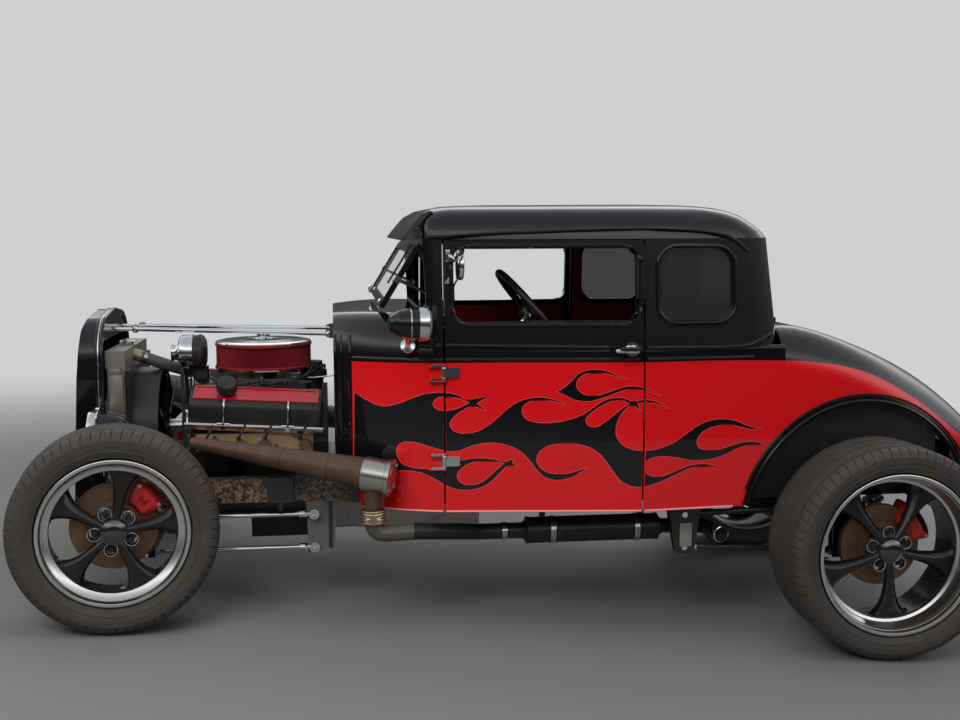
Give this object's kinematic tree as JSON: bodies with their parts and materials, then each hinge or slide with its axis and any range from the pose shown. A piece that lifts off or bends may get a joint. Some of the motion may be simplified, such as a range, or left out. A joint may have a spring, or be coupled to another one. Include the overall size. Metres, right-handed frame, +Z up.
{
  "type": "hot rod",
  "caption": "Fenderless chopped coupe hot rod with an open V8 engine, steered front wheels, rolling wheels, opening doors and deck lid.",
  "frame": {"origin": "centre of the car's box, on the ground under the tyres", "axes": "+X to the front, +Y to the car's left, +Z up"},
  "size_m": [3.4503, 1.723, 1.4865],
  "materials": {
    "body_black": "gloss black paint, red below with traditional flames",
    "frame_black": "satin black paint",
    "wheel_black": "dark satin paint with a polished lip",
    "tyre": "black rubber",
    "chrome": "polished chrome",
    "steel": "plain machined steel",
    "rust": "rust brown heat-worn iron",
    "engine_red": "red engine enamel",
    "alloy": "bare aluminium",
    "hose": "black hose",
    "glass": "tinted glass",
    "seat_trim": "red upholstery",
    "trim_black": "black trim",
    "lamp_red": "red lens"
  },
  "bodies": {
    "chassis": {"air_cleaner": "chrome", "cowl": "body_black", "cowl_lamp": "body_black", "dash": "trim_black", "driveshaft": "steel", "engine_block": "engine_red", "exhausts": "rust", "fan_shroud": "trim_black", "firewall": "body_black", "floor_pan": "frame_black", "frame_rails": "frame_black", "front_axle": "chrome", "front_drive": "alloy", "front_four_bars": "chrome", "front_spring_shocks": "steel", "grille": "chrome", "headers": "rust", "headlamps": "body_black", "intake_carburettor": "alloy", "plate_bracket": "frame_black", "radiator": "alloy", "radiator_shell": "body_black", "rear_axle": "frame_black", "rear_body": "body_black", "rear_coilovers": "steel", "rear_glass": "glass", "rear_links": "frame_black", "roof_panel": "body_black", "seat": "seat_trim", "steering_box": "alloy", "steering_column": "trim_black", "support_rods": "chrome", "tail_lamps": "lamp_red", "transmission": "alloy", "upper_hose": "hose", "valve_covers": "engine_red", "wheel_tubs": "frame_black", "windshield_frame": "chrome", "windshield_glass": "glass"},
    "knuckle_left": {"knuckle_left": "steel"},
    "knuckle_right": {"knuckle_right": "steel"},
    "tie_rod": {"tie_rod": "chrome"},
    "steering_wheel": {"steering_wheel": "trim_black"},
    "fan": {"fan": "steel"},
    "door_left": {"door_left": "body_black"},
    "door_right": {"door_right": "body_black"},
    "deck_lid": {"deck_lid": "body_black"},
    "wheel_fl": {"wheel_fl": "wheel_black", "tyre_fl": "tyre"},
    "wheel_fr": {"wheel_fr": "wheel_black", "tyre_fr": "tyre"},
    "wheel_rl": {"wheel_rl": "wheel_black", "tyre_rl": "tyre"},
    "wheel_rr": {"wheel_rr": "wheel_black", "tyre_rr": "tyre"}
  },
  "joints": [
    {"name": "steer_left", "type": "hinge", "parent": "chassis", "child": "knuckle_left", "pos_m": [1.37998, 0.56, 0.32933], "axis": [0.0658, 0, 0.9978], "range_deg": [-34, 18]},
    {"name": "steer_right", "type": "hinge", "parent": "chassis", "child": "knuckle_right", "pos_m": [1.37998, -0.56, 0.32933], "axis": [0.0658, 0, 0.9978], "range_deg": [-34, 18]},
    {"name": "tie_rod_turn", "type": "hinge", "parent": "knuckle_left", "child": "tie_rod", "pos_m": [1.26345, 0.54469, 0.21776], "axis": [0.0658, 0, 0.9978], "range_deg": [-18, 34]},
    {"name": "steering_wheel_turn", "type": "hinge", "parent": "chassis", "child": "steering_wheel", "pos_m": [0.0056, 0.33, 1.06743], "axis": [-0.7221, 0, 0.6918], "range_deg": [-408, 216]},
    {"name": "roll_fl", "type": "hinge", "parent": "knuckle_left", "child": "wheel_fl", "pos_m": [1.35415, 0.74419, 0.33103], "axis": [-0.1389, 0.9903, 0.0092], "continuous": true},
    {"name": "roll_fr", "type": "hinge", "parent": "knuckle_right", "child": "wheel_fr", "pos_m": [1.40581, -0.74419, 0.32762], "axis": [-0.1389, 0.9903, 0.0092], "continuous": true},
    {"name": "roll_rl", "type": "hinge", "parent": "chassis", "child": "wheel_rl", "pos_m": [-1.18435, 0.851, 0.36325], "axis": [0, 1, 0], "continuous": true},
    {"name": "roll_rr", "type": "hinge", "parent": "chassis", "child": "wheel_rr", "pos_m": [-1.18435, -0.851, 0.36325], "axis": [0, 1, 0], "continuous": true},
    {"name": "fan_turn", "type": "hinge", "parent": "chassis", "child": "fan", "pos_m": [1.30267, 0, 0.55491], "axis": [0.9978, 0, -0.0658], "continuous": true},
    {"name": "door_left_swing", "type": "hinge", "parent": "chassis", "child": "door_left", "pos_m": [0.33924, 0.604, 0.89909], "axis": [-0.0658, 0, -0.9978], "range_deg": [0, 62]},
    {"name": "door_right_swing", "type": "hinge", "parent": "chassis", "child": "door_right", "pos_m": [0.33924, -0.604, 0.89909], "axis": [0.0658, 0, 0.9978], "range_deg": [0, 62]},
    {"name": "deck_lid_lift", "type": "hinge", "parent": "chassis", "child": "deck_lid", "pos_m": [-0.8428, 0, 1.08934], "axis": [0, 1, 0], "range_deg": [0, 55]}
  ],
  "couplings": [
    {"joint": "steer_right", "follows": "steer_left", "ratio": 1},
    {"joint": "tie_rod_turn", "follows": "steer_left", "ratio": -1},
    {"joint": "steering_wheel_turn", "follows": "steer_left", "ratio": 12}
  ]
}
